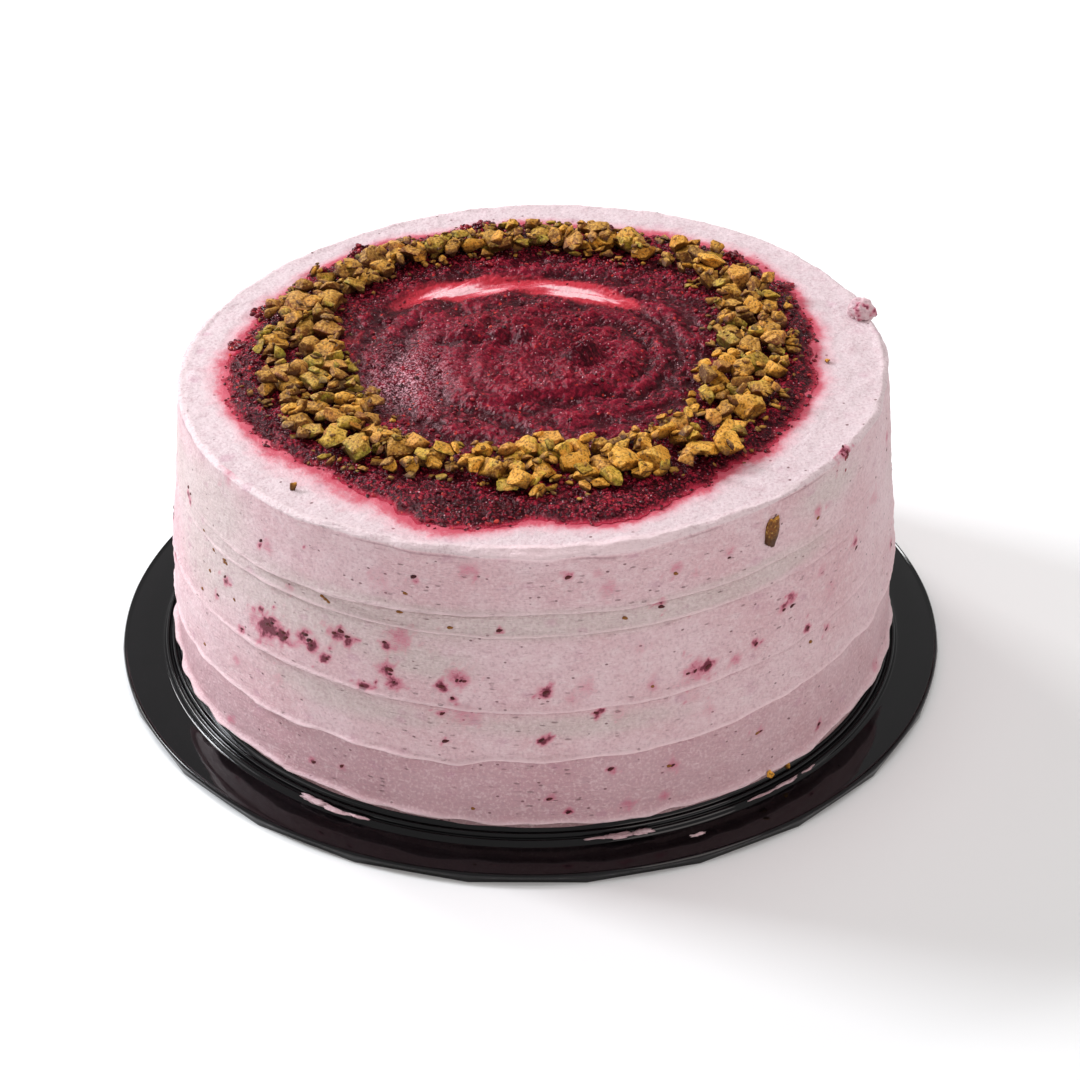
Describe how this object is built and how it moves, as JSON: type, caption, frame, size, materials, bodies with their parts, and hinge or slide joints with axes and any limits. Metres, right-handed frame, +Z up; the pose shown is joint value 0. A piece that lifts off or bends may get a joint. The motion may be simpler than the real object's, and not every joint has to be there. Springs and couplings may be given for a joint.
{
  "type": "raspberry pistachio cake on cake base",
  "caption": "Round frosted layer cake with a crushed raspberry topping and a ring of chopped pistachios, on a low round black plastic base with a flat-sided skirt.",
  "frame": {"origin": "on the table under the middle of the cake base", "axes": "+Z up through the cake; -Y is the front of the cake, the side that the picture shows"},
  "size_m": [0.254, 0.254, 0.1114],
  "materials": {
    "black_plastic": "very glossy moulded black plastic with fine scratches",
    "raspberry_frosting": "soft satin pale pink frosting with spatula ridges, raspberry seeds and bits",
    "crushed_raspberry": "wet glossy dark red crushed raspberry",
    "chopped_pistachio": "dry roasted pistachio pieces, golden ochre with some green and purple-brown skin"
  },
  "bodies": {
    "root": {"cake_base": "black_plastic", "frosted_cake": "raspberry_frosting", "raspberry_topping": "crushed_raspberry", "pistachio_ring": "chopped_pistachio"}
  },
  "joints": []
}
